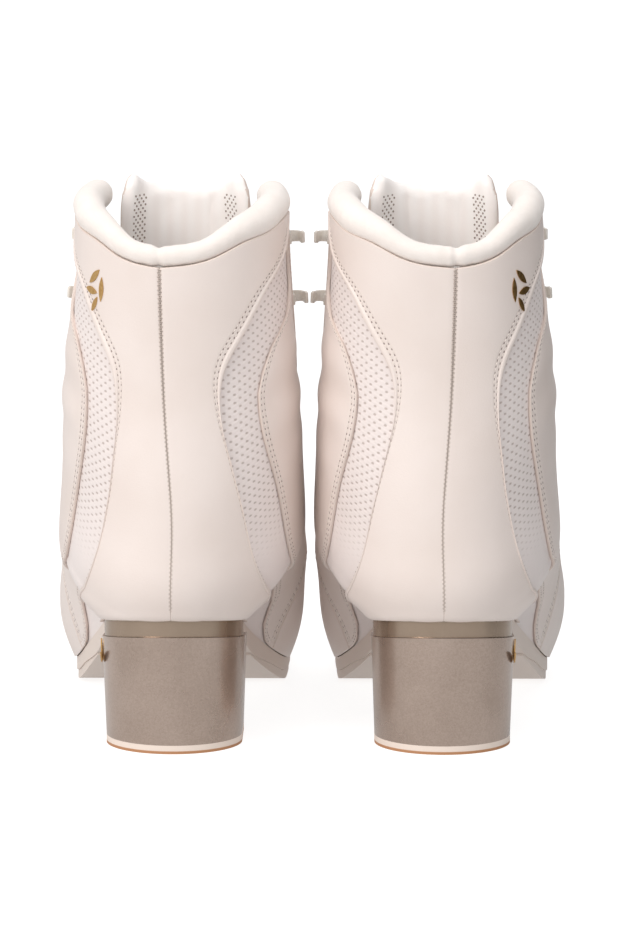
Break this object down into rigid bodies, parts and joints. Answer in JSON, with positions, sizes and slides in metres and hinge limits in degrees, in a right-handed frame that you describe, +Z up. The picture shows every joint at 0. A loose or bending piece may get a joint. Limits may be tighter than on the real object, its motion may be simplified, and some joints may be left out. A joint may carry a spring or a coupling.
{
  "type": "figure skate boots",
  "caption": "Pair of laced ankle boots for figure skating, without blades: lasted leather uppers on block heels, padded collars and swinging tongues.",
  "frame": {"origin": "on the floor, in the middle of the pair's bounding box", "axes": "+Y from the heels to the toes, +X towards the wearer's right, +Z up"},
  "size_m": [0.2172, 0.2613, 0.2245],
  "materials": {
    "upper_leather": "smooth coated leather, soft satin",
    "side_mesh": "embossed perforated textile",
    "heel_lacquer": "champagne metallic lacquer on a moulded block",
    "top_lift": "pale hard rubber",
    "sole_board": "painted stiff sole plate",
    "sole_leather": "tan sole leather",
    "insole_board": "fibre board",
    "footbed": "textile-covered foam",
    "stiffener": "thermoplastic stiffener",
    "foam": "upholstery foam",
    "lining_fabric": "fine knitted lining",
    "collar_microfibre": "brushed microfibre over foam",
    "hook_enamel": "white stove enamel on steel",
    "thread": "bonded thread",
    "gilt": "satin gilt foil"
  },
  "bodies": {
    "left_boot": {"left_heel": "heel_lacquer", "left_heel_lift": "top_lift", "left_sole_plate": "sole_board", "left_outsole": "sole_leather", "left_lasting_board": "insole_board", "left_quarter_lateral": "upper_leather", "left_quarter_medial": "upper_leather", "left_side_mesh_lateral": "side_mesh", "left_side_mesh_medial": "side_mesh", "left_eyestay_lateral": "upper_leather", "left_eyestay_medial": "upper_leather", "left_vamp": "upper_leather", "left_toe_puff": "stiffener", "left_heel_counter": "stiffener", "left_ankle_pad_lateral": "foam", "left_ankle_pad_medial": "foam", "left_lining": "lining_fabric", "left_collar": "collar_microfibre", "left_facing_lateral": "upper_leather", "left_facing_medial": "upper_leather", "left_hooks": "hook_enamel", "left_eyelets": "hook_enamel", "left_back_seam": "thread", "left_cuff_ornament": "gilt", "left_heel_ornament": "gilt"},
    "left_tongue_flap": {"left_tongue_face": "upper_leather", "left_tongue_pad": "foam", "left_tongue_lining": "lining_fabric"},
    "left_insole": {"left_footbed": "footbed"},
    "right_boot": {"right_heel": "heel_lacquer", "right_heel_lift": "top_lift", "right_sole_plate": "sole_board", "right_outsole": "sole_leather", "right_lasting_board": "insole_board", "right_quarter_lateral": "upper_leather", "right_quarter_medial": "upper_leather", "right_side_mesh_lateral": "side_mesh", "right_side_mesh_medial": "side_mesh", "right_eyestay_lateral": "upper_leather", "right_eyestay_medial": "upper_leather", "right_vamp": "upper_leather", "right_toe_puff": "stiffener", "right_heel_counter": "stiffener", "right_ankle_pad_lateral": "foam", "right_ankle_pad_medial": "foam", "right_lining": "lining_fabric", "right_collar": "collar_microfibre", "right_facing_lateral": "upper_leather", "right_facing_medial": "upper_leather", "right_hooks": "hook_enamel", "right_eyelets": "hook_enamel", "right_back_seam": "thread", "right_cuff_ornament": "gilt", "right_heel_ornament": "gilt"},
    "right_tongue_flap": {"right_tongue_face": "upper_leather", "right_tongue_pad": "foam", "right_tongue_lining": "lining_fabric"},
    "right_insole": {"right_footbed": "footbed"}
  },
  "joints": [
    {"name": "right_boot_lift", "type": "slide", "parent": "left_boot", "child": "right_boot", "axis": [0, 0, 1], "range_m": [0, 0.3]},
    {"name": "left_tongue_swing", "type": "hinge", "parent": "left_boot", "child": "left_tongue_flap", "pos_m": [-0.0531, 0.03073, 0.088], "axis": [1, 0, 0], "range_deg": [0, 20]},
    {"name": "left_footbed_lift", "type": "hinge", "parent": "left_boot", "child": "left_insole", "pos_m": [-0.0531, 0.12173, 0.0175], "axis": [-1, 0, 0], "range_deg": [0, 6]},
    {"name": "right_tongue_swing", "type": "hinge", "parent": "right_boot", "child": "right_tongue_flap", "pos_m": [0.0531, 0.03073, 0.088], "axis": [1, 0, 0], "range_deg": [0, 20]},
    {"name": "right_footbed_lift", "type": "hinge", "parent": "right_boot", "child": "right_insole", "pos_m": [0.0531, 0.12173, 0.0175], "axis": [-1, 0, 0], "range_deg": [0, 6]}
  ]
}
